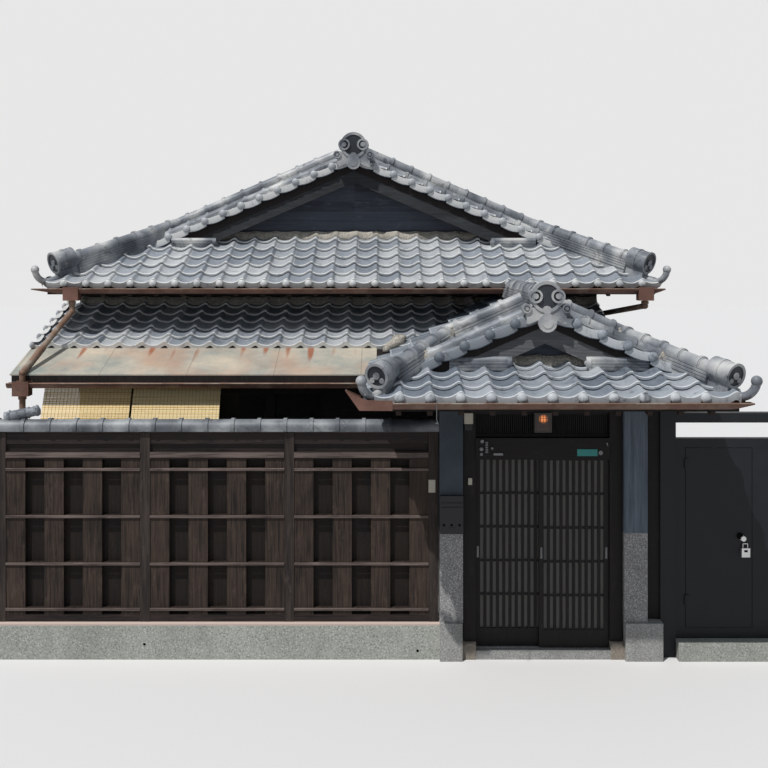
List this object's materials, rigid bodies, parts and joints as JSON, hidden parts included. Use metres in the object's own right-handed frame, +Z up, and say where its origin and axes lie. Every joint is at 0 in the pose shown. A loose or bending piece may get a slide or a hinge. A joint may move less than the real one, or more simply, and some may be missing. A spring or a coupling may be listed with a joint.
{
  "type": "machiya townhouse",
  "caption": "Wooden town house behind a boarded fence, with a tiled gate with sliding lattice leaves, a metal side gate and hip-and-gable tiled roofs",
  "frame": {"origin": "middle of the whole part's plan, on the ground", "axes": "X to the right along the street seen from the street, Y back from the street into the plot, Z up; the street side faces -Y"},
  "size_m": [7.942, 10.86, 5.247],
  "materials": {
    "concrete": "cast concrete, weathered",
    "dark_wood": "stained dark, matt",
    "fence_boards": "stained dark, matt",
    "roof_tile": "smoked clay, satin",
    "block_stone": "dressed stone, rough",
    "natural_stone": "natural stone, rough",
    "granite": "speckled granite, honed",
    "slate_render": "slate blue render, matt",
    "lamp_shade": "frosted shade in a dark frame",
    "door_wood": "stained dark, satin",
    "frosted_glass": "frosted",
    "black_metal": "black, satin",
    "grey_wood": "weathered grey, matt",
    "gate_metal": "dark paint, satin",
    "steel": "brushed",
    "floor_wood": "oiled boards",
    "clear_glass": "clear",
    "sheet_copper": "weathered sheet with rust streaks",
    "copper": "brown copper, weathered",
    "reed": "split reeds tied with thread"
  },
  "bodies": {
    "root": {"fence_base": "concrete", "fence_posts": "dark_wood", "fence_rails": "dark_wood", "fence_panel_left": "fence_boards", "fence_panel_middle": "fence_boards", "fence_panel_right": "fence_boards", "fence_cap": "roof_tile", "gate_base_blocks": "block_stone", "gate_post_stones": "natural_stone", "gate_pier_granite": "granite", "gate_pier_render": "slate_render", "gate_posts": "dark_wood", "gate_sill": "block_stone", "gate_lintel": "dark_wood", "gate_transom": "dark_wood", "gate_lamp": "lamp_shade", "gate_beams": "dark_wood", "letter_box": "black_metal", "gate_roof": "roof_tile", "gate_gable": "dark_wood", "gate_bargeboards": "grey_wood", "gate_ridges": "roof_tile", "gate_ornaments": "roof_tile", "side_board": "dark_wood", "side_gate_frame": "gate_metal", "side_gate_threshold": "concrete", "side_gate_panel": "gate_metal", "house_footing": "concrete", "house_floor": "floor_wood", "front_wall": "dark_wood", "upper_front_wall": "dark_wood", "side_walls": "dark_wood", "rear_wall": "dark_wood", "windows": "door_wood", "window_glass": "clear_glass", "entrance_door": "door_wood", "lower_roof": "roof_tile", "lower_apron": "sheet_copper", "main_roof": "roof_tile", "main_gables": "dark_wood", "main_bargeboards": "grey_wood", "main_ridges": "roof_tile", "main_ornaments": "roof_tile", "gutters": "copper", "downpipes": "copper", "reed_blinds": "reed"},
    "left_leaf": {"gate_leaf_left": "door_wood", "gate_glass_left": "frosted_glass"},
    "right_leaf": {"gate_leaf_right": "door_wood", "gate_glass_right": "frosted_glass"},
    "side_door": {"side_gate_door": "gate_metal", "side_gate_lock": "steel"}
  },
  "joints": [
    {"name": "left_leaf_slide", "type": "slide", "parent": "root", "child": "left_leaf", "axis": [1, 0, 0], "range_m": [0, 0.59]},
    {"name": "right_leaf_slide", "type": "slide", "parent": "root", "child": "right_leaf", "axis": [-1, 0, 0], "range_m": [0, 0.59]},
    {"name": "side_door_hinge", "type": "hinge", "parent": "root", "child": "side_door", "pos_m": [2.801, -4.149, 0.487], "axis": [0, 0, -1], "range_deg": [0, 95]}
  ]
}
